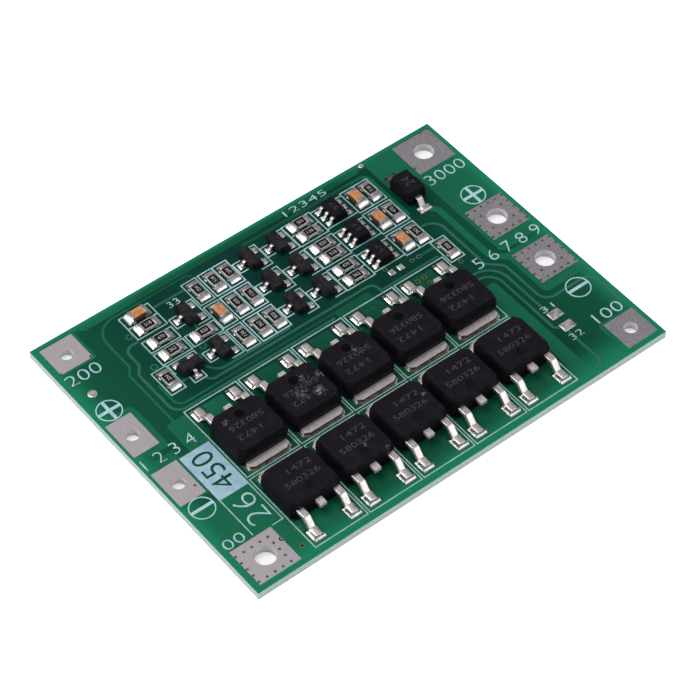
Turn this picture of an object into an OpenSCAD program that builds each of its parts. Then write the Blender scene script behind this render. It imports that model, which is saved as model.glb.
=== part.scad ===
// Battery management board: a small power circuit board with ten surface-mount transistors
// in two facing rows, three identical cell-monitor channels and eight plated wire lands.
// Millimetres. The origin is the middle of the board's underside, +X runs along the board
// towards the load terminals, +Y runs from the transistor bank to the monitor channels, +Z is up.

/* [Board] */
// Thickness of the bare laminate
board_t = 1; // [0.8:0.1:2]
// Strip between the left edge and the transistor bank
left_zone = 7.91; // [7.9:0.1:14]
// Strip between the transistor bank and the right edge
right_zone = 11.99; // [11.9:0.1:18]
// Strip between the front edge and the bank's printed frame
front_margin = 0.9; // [0.5:0.1:3]
// Strip between the bank's printed frame and the back edge
circuit_zone = 17.25; // [17:0.25:24]
// Thickness of the etched copper with its solder mask
copper_t = 0.05; // [0.03:0.01:0.1]
// Thickness of the solder film under every lead and chip
solder_t = 0.05; // [0.03:0.01:0.1]
// Width of the thin tracks
track_w = 0.32; // [0.16:0.02:0.34]

/* [Wire lands] */
// Length of the four large lands, along X
power_land_l = 5.3; // [4.5:0.1:6]
// Width of the four large lands, along Y
power_land_w = 5.2; // [4.5:0.1:6]
// Finished hole in the large lands
power_hole_d = 2.4; // [1:0.1:3]
// Side of the two square cell-tap lands
tap_land = 4.2; // [3.5:0.1:5]
// Finished hole in the cell-tap lands
tap_hole_d = 1.6; // [0.8:0.1:2.4]
// Length of the two charge lands, along X
charge_land_l = 3.3; // [2.8:0.1:3.6]
// Width of the two charge lands, along Y
charge_land_w = 5.3; // [4.5:0.1:6]
// Finished hole in the charge lands
charge_hole_d = 1.6; // [0.8:0.1:2]
// Thickness of the lands, tin included
plating_t = 0.07; // [0.05:0.01:0.12]
// Wall of the plated barrel in each hole, tin included
barrel_t = 0.16; // [0.16:0.01:0.25]
// Distance of the corner lands from the front and back edges
corner_inset = 0.7; // [0.3:0.1:1.5]
// Distance of the lands from the left and right edges
side_inset = 0.6; // [0.3:0.1:1]
// Distance between the centres of the two lands of a pair
land_pair_pitch = 8.2; // [7:0.1:9]
// Diameter of the round probe land
probe_d = 1.1; // [0.6:0.1:1.6]
// Length of the two bare link pads, along X
link_pad_l = 1.65; // [1.2:0.05:2]
// Width of the two bare link pads, along Y
link_pad_w = 1.2; // [0.8:0.05:1.5]
// Side of the two small spare pads
spare_pad = 0.8; // [0.5:0.05:1]

/* [Power transistors] */
// Distance between neighbouring transistors
mosfet_pitch = 7.22; // [7.1:0.02:9]
// Gap between the tabs of the two rows
tab_gap = 0.82; // [0.4:0.02:1.5]
// Width of the moulded case at its parting line
case_l = 6.6; // [6.2:0.1:6.8]
// Depth of the moulded case at its parting line, from tab face to lead face
case_w = 6.1; // [5.6:0.1:7]
// Height of the moulded case
case_h = 2.3; // [2:0.05:2.6]
// Draft of the case's two sides over its upper half
side_draft = 0.3; // [0.05:0.05:0.6]
// Draft of the case's tab face over its upper half
tab_draft = 0.5; // [0.05:0.05:0.8]
// Corner cut of the case in plan
case_corner = 0.55; // [0.2:0.05:1]
// Diameter of the round mould mark on the case's top
mark_d = 1.1; // [0.6:0.1:1.6]
// Depth of the round mould mark
mark_depth = 0.08; // [0.04:0.02:0.2]
// Distance of the mould mark's centre from the lead face
mark_in = 1.4; // [1:0.1:3]
// Width of the drain tab
tab_l = 5.3; // [4.6:0.1:5.6]
// Thickness of the drain tab and the leads
lead_t = 0.5; // [0.4:0.05:0.6]
// Length of drain tab that stands out of the case
tab_out = 0.92; // [0.7:0.02:1.4]
// Width of a transistor lead
lead_w = 0.85; // [0.6:0.05:1]
// Distance between the cut middle lead and each outer lead
lead_pitch = 2.36; // [2.2:0.02:2.5]
// Height of a lead's underside where it leaves the case
lead_rise = 1; // [0.8:0.05:1.2]
// Length of the level shank, which is also the length of the cut middle lead
shank_out = 0.9; // [0.6:0.05:1]
// Reach of an outer lead from the case to its toe
lead_reach = 3.15; // [2.9:0.05:3.6]
// Slope of a lead's leg
lead_slope = 48; // [40:1:60]

/* [Chips] */
// Length of a chip resistor or capacitor
chip_l = 2; // [1.8:0.05:2.1]
// Width of a chip resistor or capacitor
chip_w = 1.25; // [1:0.05:1.3]
// Height of a chip resistor
resistor_h = 0.5; // [0.4:0.05:0.8]
// Height of a chip capacitor
capacitor_h = 0.8; // [0.5:0.05:1.3]
// Length of the plated end of a resistor
resistor_end = 0.34; // [0.2:0.02:0.5]
// Border of bare ceramic on each side of a resistor's coat
coat_in = 0.11; // [0.04:0.01:0.2]
// Length of the plated end of a capacitor
capacitor_end = 0.3; // [0.2:0.02:0.5]
// Thickness of the plating over a chip's ends
end_t = 0.04; // [0.03:0.01:0.08]
// Length of solder land beyond each end of a chip
chip_toe = 0.56; // [0.3:0.02:0.6]

/* [Small packages] */
// Width of a small transistor's case, across its leads' direction
sot_l = 1.4; // [1.2:0.05:1.6]
// Length of a small transistor's case
sot_w = 2.9; // [2.7:0.05:3]
// Height of a small transistor's case
sot_h = 1; // [0.8:0.05:1.2]
// Width of a monitor chip's case, across its leads' direction
ic_l = 1.7; // [1.5:0.05:1.8]
// Height of a monitor chip's case
ic_h = 1.15; // [0.9:0.05:1.3]
// Thickness of the small packages' leads
fine_lead_t = 0.15; // [0.1:0.01:0.2]
// Width of the small packages' leads
fine_lead_w = 0.42; // [0.3:0.02:0.46]
// Distance between neighbouring leads of the small packages
fine_pitch = 0.98; // [0.95:0.01:1]
// Reach of a small package's lead from its case to its toe
fine_reach = 0.7; // [0.6:0.02:0.8]
// Width of the diode's case, along X
diode_l = 2.5; // [2.2:0.1:2.8]
// Length of the diode's case, along Y
diode_w = 3.6; // [3.2:0.1:3.8]
// Height of the diode's case
diode_h = 2; // [1.6:0.1:2.3]
// Width of the diode's leads
diode_lead_w = 0.8; // [0.6:0.05:1.4]
// Reach of the diode's leads from its case to the toe
diode_reach = 1.45; // [1.2:0.05:1.6]

/* [Channels] */
// Distance between neighbouring monitor channels
channel_pitch = 4.16; // [4.1:0.02:4.3]
// Distance from the bank's printed frame to the first channel's centre line
channel_start = 4.5; // [4.4:0.05:5]

/* [Legend] */
// Width of the printed lines
print_w = 0.18; // [0.12:0.01:0.26]
// Thickness of the print
print_t = 0.03; // [0.02:0.01:0.06]
// Distance between the middle lines of the two rows' frames
row_split = 0.36; // [0.3:0.02:0.6]
// Distance between the side lines of neighbouring frames
frame_split = 0.32; // [0.3:0.02:0.6]
// Outer diameter of the polarity signs
sign_d = 3; // [2.4:0.1:3.2]
// Width of the bars in the polarity signs
sign_bar = 0.42; // [0.2:0.02:0.7]
// Length of the printed rating field, along Y
rating_w = 7.1; // [5:0.1:7.2]
// Width of the printed rating field, along X
rating_l = 3.9; // [3:0.1:3.95]

/* [Hidden] */
$fn = 48;
columns = 5;
count = 2 * columns;

// --- board size, from what it carries ---
bank_l = columns * mosfet_pitch;
row_depth = tab_out + case_w + lead_reach;
land_toe = 0.33;
frame_gap = 0.42;
bank_w = 2 * (row_depth + land_toe + frame_gap) + tab_gap;
board_l = left_zone + bank_l + right_zone;
board_w = front_margin + bank_w + circuit_zone;
bank_axis = front_margin + bank_w / 2;
bank_end = left_zone + bank_l;
bank_back = front_margin + bank_w;
seat_z = board_t + copper_t + solder_t;
print_top = board_t + copper_t + print_t;

// --- wire lands: name, centre, size and hole; x and y run from the front left corner ---
pair_y = [for (side = [1, -1]) board_w / 2 + side * land_pair_pitch / 2];
right_land_x = board_l - side_inset - power_land_l / 2;
corner_x = side_inset + 0.2;
LANDS = [
  ["terminal_pack_minus", [corner_x + power_land_l / 2, corner_inset + power_land_w / 2],
    [power_land_l, power_land_w], power_hole_d],
  ["terminal_cell_1", [board_l - side_inset - tap_land / 2, corner_inset + tap_land / 2],
    [tap_land, tap_land], tap_hole_d],
  ["terminal_cell_2", [corner_x + tap_land / 2, board_w - corner_inset - tap_land / 2],
    [tap_land, tap_land], tap_hole_d],
  ["terminal_pack_plus", [right_land_x, board_w - corner_inset - power_land_w / 2],
    [power_land_l, power_land_w], power_hole_d],
  ["terminal_charge_plus", [side_inset - 0.25 + charge_land_l / 2, pair_y[0]],
    [charge_land_l, charge_land_w], charge_hole_d],
  ["terminal_charge_minus", [side_inset - 0.25 + charge_land_l / 2, pair_y[1]],
    [charge_land_l, charge_land_w], charge_hole_d],
  ["terminal_load_plus", [right_land_x, pair_y[0]], [power_land_l, power_land_w], power_hole_d],
  ["terminal_load_minus", [right_land_x, pair_y[1]], [power_land_l, power_land_w], power_hole_d]
];

// --- bare pads: centre and size, round where the second size is 0 ---
link_x = bank_end + 4.14;
link_pitch = 2.05;
function link_y(i) = front_margin + 8.5 - i * link_pitch;
spare_y = bank_back + 1.72;
PADS = [
  [[side_inset + 1.33, bank_back + 8.15], [probe_d, 0]],
  [[bank_end + 1.59, board_w - 0.6], [0.7, 0]],
  [[link_x, link_y(0)], [link_pad_l, link_pad_w]],
  [[link_x, link_y(1)], [link_pad_l, link_pad_w]],
  [[bank_end - 6.01, spare_y], [spare_pad, spare_pad]],
  [[bank_end - 4.74, spare_y], [spare_pad, spare_pad]]
];

// --- chips and small packages: [x, y, turn]; an unturned chip lies along X ---
print_lying = [3.92, 1.84];
print_turned = [1.92, 3.74];
neighbour = 1.96;
function channel_y(i) = bank_back + channel_start + i * channel_pitch;
filter_x = left_zone + 11.54;
divider_x = filter_x + 2.25;
driver_x = divider_x + neighbour + 3.04;
driver_pitch = 3.85;
pair_x = driver_x + driver_pitch + 3.9;
monitor_x = pair_x + 4.14;
timing_x = monitor_x + 3.27;
input_x = left_zone + 4.24;
sense_x = left_zone + 8.46;
input_y = bank_back + 14.02;
load_chip = [bank_end + 1.09, bank_back + 0.58];
RESISTORS = concat(
  [for (i = [0, 2]) [filter_x, channel_y(i), 90]],
  [for (i = [0 : 2], j = [0, 1]) [divider_x + j * neighbour, channel_y(i), 90]],
  [for (i = [0 : 2], side = [-1, 1]) [pair_x, channel_y(i) + side * print_lying[1] / 2, 0]],
  [for (i = [0 : 2]) [timing_x + neighbour, channel_y(i), 90]],
  [for (down = [1.88, 4.33, 6.49]) [input_x, input_y - down, 0]],
  [[left_zone + 1.49, channel_y(0) + 0.05, 90], [sense_x, input_y - 6.49, 0]],
  [concat(load_chip, 90)]
);
CAPACITORS = concat(
  [[filter_x, channel_y(1), 90], [input_x, input_y, 0]],
  [for (i = [0 : 2]) [timing_x, channel_y(i), 90]]
);
SOTS = concat(
  [for (i = [0 : 2], j = [0, 1]) [driver_x + j * driver_pitch, channel_y(i), 0]],
  [[input_x + 0.1, channel_y(0) - 0.08, 90], [sense_x, channel_y(0) + 0.05, 0]],
  [[sense_x, input_y - 3.35, 0]]
);
ICS = [for (i = [0 : 2]) [monitor_x, channel_y(i), 0]];
diode_at = [bank_end + 3.04, bank_back + 9.95];

// --- power transistor, seen from its tab face: leads run towards -Y ---
case_part = lead_rise + lead_t / 2;
tab_in = 4.6;
tab_corner = [0.6, 0.45];
lead_root = 0.8;
function mosfet_x(i) = left_zone + (i % columns + 0.5) * mosfet_pitch;
mosfet_land_l = lead_w + 0.6;
mosfet_foot = 1.35;
// solder skirt on each side of a foot
skirt_l = 1.05;
skirt_h = 0.36;

// --- small packages ---
case_lift = 0.08;
fine_root = 0.3;
fine_shank = 0.12;
fine_slope = 68;
fine_foot = 0.48;
fine_toe = 0.24;
ic_land_w = fine_lead_w + 0.24;
sot_land_w = fine_lead_w + 0.46;
sot_draft = 0.1;
diode_foot = 0.7;

// =====================================================================
// helpers

// Draws children at their place: x and y run from the board's front left corner
module on_board(x = 0, y = 0, z = 0, turn = 0)
  translate([x - board_l / 2, y - board_w / 2, z]) rotate(turn) children();

// Plate with its lowest corner at [x0, y0]
module plate(x0, y0, x1, y1, t) translate([x0, y0, 0]) cube([x1 - x0, y1 - y0, t]);

// Points of an arc that rounds the corner p between a and b
function unit(v) = v / norm(v);
function bend(a, p, b, r, n = 6) =
  let (u = unit(a - p), v = unit(b - p), half = acos(u * v) / 2)
  let (centre = p + unit(u + v) * r / sin(half), reach = r / tan(half))
  let (from = p + u * reach - centre, to = p + v * reach - centre)
  [for (i = [0 : n]) centre + r * unit(from + (to - from) * i / n)];

// Line through the points with a rounded corner at each inner point
function route(pts, radii) = [
  pts[0],
  for (i = [1 : len(pts) - 2]) each bend(pts[i - 1], pts[i], pts[i + 1], radii[i - 1]),
  pts[len(pts) - 1]
];
function beside(line, off) = [
  for (i = [0 : len(line) - 1])
    let (d = unit(line[min(i + 1, len(line) - 1)] - line[max(i - 1, 0)]))
    line[i] + off * [-d[1], d[0]]
];
function backwards(list) = [for (i = [len(list) - 1 : -1 : 0]) list[i]];

// Etched track of width w
module track(pts, radii = [], w = track_w) {
  line = len(pts) > 2 ? route(pts, radii) : pts;
  linear_extrude(copper_t) polygon(concat(beside(line, w / 2), backwards(beside(line, -w / 2))));
}

// Etched area with rounded corners
module pour(pts, r = 0.4) {
  n = len(pts);
  outline = [for (i = [0 : n - 1]) each bend(pts[(i + n - 1) % n], pts[i], pts[(i + 1) % n], r)];
  linear_extrude(copper_t) polygon(outline);
}

module pour_box(x0, y0, x1, y1, r = 0.4) pour([[x0, y0], [x1, y0], [x1, y1], [x0, y1]], r);

// Side profile of a gull-wing lead: level shank, sloping leg and level foot.
// [0, 0] lies under the case face, the root reaches back into the case.
function sweep_arc(c, r, from, to, n = 5) = [
  for (i = [0 : n]) let (a = from + (to - from) * i / n) [c[0] + r * cos(a), c[1] + r * sin(a)]
];
function gull_profile(t, rise, shank, reach, slope, root) =
  let (high = rise + t / 2, low = t / 2, r = 0.85 * t, half = t / 2)
  let (leg = (high - low - 2 * r * (1 - cos(slope))) / sin(slope))
  let (run = 2 * r * sin(slope) + leg * cos(slope))
  let (top = [shank, high - r], foot = [shank + run, low + r])
  concat(
    [[-root, high + half]],
    sweep_arc(top, r + half, 90, 90 - slope),
    sweep_arc(foot, r - half, 270 - slope, 270),
    [[reach, low + half], [reach, low - half]],
    sweep_arc(foot, r + half, 270, 270 - slope),
    sweep_arc(top, r - half, 90 - slope, 90),
    [[-root, high - half]]
  );

// Gull-wing lead of width w that leaves a case face at y = 0 towards +Y
module gull_lead(w, t, rise, shank, reach, slope, root)
  rotate([90, 0, 90]) linear_extrude(w, center = true)
    polygon(gull_profile(t, rise, shank, reach, slope, root));

// Slab between two drafted sides that lean in from the parting line at height part
module drafted_slab(across, h, part, draft_low, draft_high, turn)
  rotate([90, 0, turn]) linear_extrude(4 * across, center = true)
    polygon([
      [-across / 2 + draft_low / 3, 0], [across / 2 - draft_high / 3, 0], [across / 2, part],
      [across / 2 - draft_high, h], [-across / 2 + draft_low, h], [-across / 2, part]
    ]);

// Moulded case with its corners cut off: l along X, w along Y
module moulded_case(l, w, h, part, draft_l, draft_front, draft_back, corner) {
  diagonal = (l + w - 2 * corner) / sqrt(2);
  draft_near = (draft_l + draft_front) / sqrt(2);
  draft_far = (draft_l + draft_back) / sqrt(2);
  intersection() {
    drafted_slab(l, h, part, draft_l, draft_l, 0);
    drafted_slab(w, h, part, draft_front, draft_back, 90);
    drafted_slab(diagonal, h, part, draft_near, draft_far, 45);
    drafted_slab(diagonal, h, part, draft_far, draft_near, -45);
  }
}

// Hollow slope of solder, from its foot at [run, 0] to its top at [0, rise]
function hollow(run, rise, n = 5) = [
  for (i = [n : -1 : 0]) let (a = 90 * i / n) [run * (1 - cos(a)), rise * (1 - sin(a))]
];

// Solder on a land: a film from y = back to the toe, and a slope from the toe down to y = out
module solder_toe(w, back, toe, out, slope)
  rotate([90, 0, 90]) linear_extrude(w, center = true)
    polygon(concat(
      [[back, 0], [out, 0]],
      [for (p = slope) [toe + p[0], solder_t + p[1]]],
      [[toe, solder_t], [back, solder_t]]
    ));

// =====================================================================
// board, lands and copper

module board()
  color([0.06, 0.36, 0.25]) difference() {
    on_board() cube([board_l, board_w, board_t]);
    for (land = LANDS) on_board(land[1][0], land[1][1]) {
      translate([0, 0, -1]) cylinder(d = land[3] + 2 * barrel_t, h = board_t + 2);
      translate([0, 0, plating_t / 2 - 1])
        cube([land[2][0], land[2][1], 2 + plating_t], center = true);
    }
  }

// Plated land on both faces of the board, joined by the barrel of its hole
module terminal(land)
  color([0.68, 0.66, 0.67]) on_board(land[1][0], land[1][1]) difference() {
    union() {
      translate([0, 0, plating_t / 2]) cube([land[2][0], land[2][1], plating_t], center = true);
      translate([0, 0, board_t + plating_t / 2])
        cube([land[2][0], land[2][1], plating_t], center = true);
      cylinder(d = land[3] + 2 * barrel_t, h = board_t + plating_t / 2);
    }
    translate([0, 0, -1]) cylinder(d = land[3], h = board_t + 3);
  }

module test_pads()
  color([0.72, 0.7, 0.7]) for (pad = PADS) on_board(pad[0][0], pad[0][1], board_t)
    if (pad[1][1] == 0) cylinder(d = pad[1][0], h = plating_t);
    else translate([-pad[1][0] / 2, -pad[1][1] / 2, 0]) cube([pad[1][0], pad[1][1], plating_t]);

// Etched copper under the mask: wide areas round the lands and thin curved tracks
module copper_shapes() {
  left = left_zone;
  bank = bank_end;
  back = bank_back;
  // pack minus: the front left corner, the strip under the front leads and the left riser
  pour([
    [0.3, 0.35], [bank - 0.1, 0.35], [bank - 0.1, front_margin + 3.9], [left + 0.14, front_margin + 3.9],
    [left + 0.14, back - 0.25], [left - 2.46, back - 0.25], [left - 2.46, bank_axis - 0.15],
    [0.3, bank_axis - 0.15]
  ]);
  // drains: under both rows and out to the right of the bank
  pour([
    [left + 0.5, bank_axis - 6], [bank + 0.24, bank_axis - 6], [bank + 0.24, front_margin + 0.2],
    [bank + 2.04, front_margin + 0.2], [bank + 2.04, bank_axis + 4.95], [bank + 0.24, bank_axis + 4.95],
    [bank + 0.24, bank_axis + 6.1], [left + 0.5, bank_axis + 6.1]
  ], 0.5);
  // sources of the back row
  for (i = [0 : columns - 1])
    pour_box(mosfet_x(i) - 1.62, bank_axis + 7.6, mosfet_x(i) + 1.3, back - 0.42, 0.3);
  pour_box(mosfet_x(3) - 3.9, bank_axis + 7.6, mosfet_x(3) + 0.97, back + 1.2, 0.5);
  // round the lands
  pour_box(0.2, pair_y[1] - 2.95, left - 3.7, pair_y[1] + 3.9, 0.3);
  pour_box(0.2, pair_y[0] - 3.6, left - 3.56, pair_y[0] + 3.4, 0.6);
  pour_box(0.3, board_w - 5.25, left - 2.5, board_w - 0.3, 0.5);
  pour_box(bank + 5.44, pair_y[1] - 3.95, board_l - 0.3, pair_y[1] + 3.3, 0.7);
  pour_box(bank + 6.54, 0.4, board_l - 0.3, 5.25, 0.5);
  pour([
    [bank + 5.55, pair_y[0] - 4.5], [board_l - 0.2, pair_y[0] - 4.5], [board_l - 0.2, board_w - 0.3],
    [bank + 1.9, board_w - 0.3], [bank + 1.9, back + 11.6], [bank + 5.55, back + 11.6]
  ], 0.6);
  // supply strips along the back edge
  pour_box(left - 1.9, back + 15.9, bank + 0.8, board_w - 0.3, 0.5);
  track([[left + 19.5, back + 15.27], [bank + 1.11, back + 15.27], [bank + 1.11, back + 7.25]], [1], 0.45);
  // the wide strip from the diode to load minus
  track([
    [bank + 3.3, back + 7], [bank + 4.19, back + 5.9], [bank + 4.19, back - 3.1],
    [bank + 5.8, back - 4.7]
  ], [0.8, 0.8], 0.85);
  // left riser and the two tracks that turn along the bank
  track([
    [left + 12.5, back + 15.05], [left + 11.9, back + 15.57], [left - 0.66, back + 15.57],
    [left - 0.66, back + 8.75], [left - 1.41, back + 7.65], [left - 1.41, back - 0.35]
  ], [0.4, 2.6, 0.8, 0.8]);
  track([[left + 6.25, back + 14], [left + 10.4, back + 14]]);
  track([
    [left + 2.2, back + 11.05], [left + 0.29, back + 11.05], [left + 0.29, back + 8.25],
    [left - 0.56, back + 7.15], [left - 0.56, back + 0.4], [left + 21, back + 0.4]
  ], [1, 0.8, 0.8, 1.3]);
  track([[left + 0.24, back + 4.7], [left + 0.24, back + 1.02], [left + 21.6, back + 1.02]], [1]);
  track([
    [left + 4.8, back + 2.55], [left + 5.4, back + 1.78], [left + 27.5, back + 1.78],
    [left + 27.5, back + 0.25]
  ], [0.6, 1]);
  track([[left + 5.64, back + 4], [left + 6.7, back + 2.38], [left + 16.3, back + 2.38]], [1.6]);
  track([[left + 27.75, back + 0.4], [left + 35.7, back + 0.4]]);
  track([[left + 2.55, back + 3.6], [left + 3.45, back + 3.6]]);
  track([[left + 8.4, back + 9.5], [left + 8.4, back + 8.6]]);
  track([[left + 32.9, back + 1.72], [bank, back + 1.72]], [], 0.5);
  // tracks that turn round the right end of the bank
  track([
    [bank + 0.5, bank_axis + 6.25], [bank + 2.74, bank_axis + 6.25], [bank + 2.74, link_y(1) + 0.7],
    [bank + 3.4, link_y(1) + 0.1]
  ], [1.9, 0.4]);
  track([
    [bank + 0.5, bank_axis + 7.15], [bank + 3.64, bank_axis + 7.15], [bank + 3.64, link_y(0) + 0.5]
  ], [2.6]);
  track([
    [bank + 0.95, back + 5], [bank + 2.94, back + 5], [bank + 2.94, bank_axis + 7.6],
    [bank + 4.54, bank_axis + 6], [bank + 4.54, bank_axis - 0.75], [board_l - 0.8, bank_axis - 0.75],
    [board_l - 0.8, front_margin + 5.2]
  ], [1.7, 0.8, 1, 1.4, 1.2]);
  track([
    [link_x - 0.5, link_y(1) - 0.5], [link_x - 0.5, front_margin + 0.05], [bank + 2.5, front_margin + 0.05]
  ], [0.8]);
}

// Openings of the mask: every land and pad that the copper areas run round
module mask_windows() {
  for (land = LANDS) translate([land[1][0], land[1][1], 0])
    cube([land[2][0], land[2][1], 4 * board_t], center = true);
  for (pad = PADS) translate([pad[0][0], pad[0][1], 0])
    if (pad[1][1] == 0) cylinder(d = pad[1][0], h = 4 * board_t, center = true);
    else cube([pad[1][0], pad[1][1], 4 * board_t], center = true);
  for (i = [0 : count - 1], side = [-1, 1]) {
    facing = i < columns ? -1 : 1;
    reach = tab_gap / 2 + row_depth;
    y = [reach - mosfet_foot - 0.2, reach + land_toe];
    x = mosfet_x(i) + side * lead_pitch;
    translate([x - mosfet_land_l / 2 - 0.2, bank_axis + min(facing * y[0], facing * y[1]) - 0.1, -board_t])
      cube([mosfet_land_l + 0.4, y[1] - y[0] + 0.2, 4 * board_t]);
  }
}

module copper_tracks()
  color([0.12, 0.47, 0.33]) on_board(0, 0, board_t) difference() {
    copper_shapes();
    mask_windows();
  }

// =====================================================================
// power transistors: drawn with the tab face on y = 0 and the leads towards -Y

// Outline of the tab or of its solder: half its length, and its reach in front of the case
module tab_outline(half, out) polygon([
  [-half, -tab_in], [half, -tab_in], [half, out - tab_corner[1]],
  [half - tab_corner[0], out], [-half + tab_corner[0], out], [-half, out - tab_corner[1]]
]);

// Copper drain tab: the plate under the case, its riser and the cut middle lead
module drain_tab_shape() {
  linear_extrude(lead_t) tab_outline(tab_l / 2, tab_out);
  plate(-lead_w / 2, -tab_in - lead_t, lead_w / 2, -tab_in, lead_rise + lead_t);
  translate([0, 0, lead_rise]) plate(-lead_w / 2, -case_w - shank_out, lead_w / 2, -tab_in, lead_t);
}

// Gate and source leads
module mosfet_lead_shapes()
  for (side = [-1, 1]) translate([side * lead_pitch, -case_w, 0]) mirror([0, 1, 0])
    gull_lead(lead_w, lead_t, lead_rise, shank_out - 0.12, lead_reach, lead_slope, lead_root);

module mosfet_case_shape()
  difference() {
    translate([0, -case_w / 2, 0])
      moulded_case(case_l, case_w, case_h, case_part, side_draft, side_draft / 2, tab_draft, case_corner);
    drain_tab_shape();
    mosfet_lead_shapes();
    translate([0, -case_w + mark_in, case_h - mark_depth]) cylinder(d = mark_d, h = 1);
  }

// Places transistor i: the front row's leads face the front edge, the back row is turned round
module at_mosfet(i) {
  facing = i < columns ? 1 : -1;
  on_board(mosfet_x(i), bank_axis - facing * (tab_gap / 2 + tab_out), seat_z, facing > 0 ? 0 : 180)
    children();
}

module mosfet_case(i) color([0.13, 0.12, 0.14]) at_mosfet(i) mosfet_case_shape();
module mosfet_tab(i) color([0.72, 0.7, 0.7]) at_mosfet(i) drain_tab_shape();
module mosfet_leads(i) color([0.85, 0.84, 0.83]) at_mosfet(i) mosfet_lead_shapes();

// =====================================================================
// chips: drawn along X on the seat plane

module chip_core(h) translate([0, 0, h / 2])
  cube([chip_l - 2 * end_t, chip_w - 2 * end_t, h - 2 * end_t], center = true);

module chip_ends(h, end)
  for (side = [-1, 1]) difference() {
    translate([side * (chip_l - end) / 2, 0, h / 2]) cube([end, chip_w, h], center = true);
    chip_core(h);
  }

module at_all(places, z = seat_z)
  for (p = places) on_board(p[0], p[1], z, p[2]) children();

module resistor_bodies() color([0.85, 0.83, 0.8]) at_all(RESISTORS) chip_core(resistor_h);
module resistor_ends() color([0.75, 0.73, 0.72]) at_all(RESISTORS) chip_ends(resistor_h, resistor_end);
module resistor_coats() color([0.1, 0.1, 0.11]) at_all(RESISTORS)
  translate([0, 0, resistor_h - end_t / 2])
    cube([chip_l - 2 * resistor_end, chip_w - 2 * coat_in, end_t], center = true);
module capacitor_bodies() color([0.75, 0.5, 0.28]) at_all(CAPACITORS) chip_core(capacitor_h);
module capacitor_ends() color([0.75, 0.73, 0.72]) at_all(CAPACITORS) chip_ends(capacitor_h, capacitor_end);

// =====================================================================
// small moulded packages

// Leads of a package of length l: x places on its -X and +X sides
module fine_leads(l, left_side, right_side, rise) {
  for (y = left_side) translate([-l / 2, y, 0]) rotate(90)
    gull_lead(fine_lead_w, fine_lead_t, rise, fine_shank, fine_reach, fine_slope, fine_root);
  for (y = right_side) translate([l / 2, y, 0]) rotate(-90)
    gull_lead(fine_lead_w, fine_lead_t, rise, fine_shank, fine_reach, fine_slope, fine_root);
}

module fine_case(l, w, h, part)
  translate([0, 0, case_lift]) moulded_case(l, w, h - case_lift, part, sot_draft, sot_draft, sot_draft, 0.08);

sot_rise = 0.42;
module sot_leads() fine_leads(sot_l, [0], [-fine_pitch, fine_pitch], sot_rise);
module sot_case() difference() {
  fine_case(sot_l, sot_w, sot_h, sot_rise + fine_lead_t / 2 - case_lift);
  sot_leads();
}

ic_rise = 0.5;
ic_rows = [-fine_pitch, 0, fine_pitch];
module ic_leads() fine_leads(ic_l, ic_rows, ic_rows, ic_rise);
module ic_case() difference() {
  fine_case(ic_l, sot_w, ic_h, ic_rise + fine_lead_t / 2 - case_lift);
  ic_leads();
}

module transistor_cases() color([0.13, 0.12, 0.14]) at_all(SOTS) sot_case();
module transistor_leads() color([0.85, 0.84, 0.83]) at_all(SOTS) sot_leads();
module monitor_case(i) color([0.13, 0.12, 0.14]) at_all([ICS[i]]) ic_case();
module monitor_leads(i) color([0.85, 0.84, 0.83]) at_all([ICS[i]]) ic_leads();

diode_rise = 0.8;
diode_lead_t = 0.2;
module diode_lead_shapes()
  for (turn = [0, 180]) rotate(turn) translate([0, diode_w / 2, 0])
    gull_lead(diode_lead_w, diode_lead_t, diode_rise, 0.2, diode_reach, 58, 0.5);
module diode_case() color([0.12, 0.11, 0.13]) on_board(diode_at[0], diode_at[1], seat_z) difference() {
  translate([0, 0, case_lift]) moulded_case(
    diode_l, diode_w, diode_h - case_lift, diode_rise + diode_lead_t / 2 - case_lift, 0.15, 0.15, 0.15, 0.1);
  diode_lead_shapes();
}
module diode_leads() color([0.85, 0.84, 0.83])
  on_board(diode_at[0], diode_at[1], seat_z) diode_lead_shapes();

// =====================================================================
// solder on every land, up to the seat plane, with a fillet at each end or toe

module chip_solder(rise)
  for (turn = [-90, 90]) rotate(turn)
    solder_toe(chip_w + 0.1, chip_l / 2 - 0.42, chip_l / 2, chip_l / 2 + chip_toe,
      [[chip_toe, 0], [chip_toe * 0.85, rise * 0.3], [chip_toe * 0.5, rise * 0.7], [0, rise]]);

module lead_solder(w, foot, reach, toe, rise)
  solder_toe(w, reach - foot, reach, reach + toe, hollow(toe, rise));

module fine_solder(l, w, left_side, right_side) {
  for (y = left_side) translate([-l / 2, y, 0]) rotate(90)
    lead_solder(w, fine_foot, fine_reach, fine_toe, 0.14);
  for (y = right_side) translate([l / 2, y, 0]) rotate(-90)
    lead_solder(w, fine_foot, fine_reach, fine_toe, 0.14);
}

module mosfet_solder() {
  for (side = [-1, 1]) translate([side * lead_pitch, -case_w, 0]) mirror([0, 1, 0]) {
    lead_solder(mosfet_land_l, mosfet_foot, lead_reach, land_toe, 0.42);
    for (turn = [0, 1]) mirror([turn, 0, 0]) translate([lead_w / 2, lead_reach - skirt_l, solder_t])
      rotate([90, 0, 0]) mirror([0, 0, 1]) linear_extrude(skirt_l)
        polygon(concat([[0, 0]], hollow((mosfet_land_l - lead_w) / 2, skirt_h)));
  }
  linear_extrude(solder_t) tab_outline(tab_l / 2 + 0.2, tab_out + 0.08);
}

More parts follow.
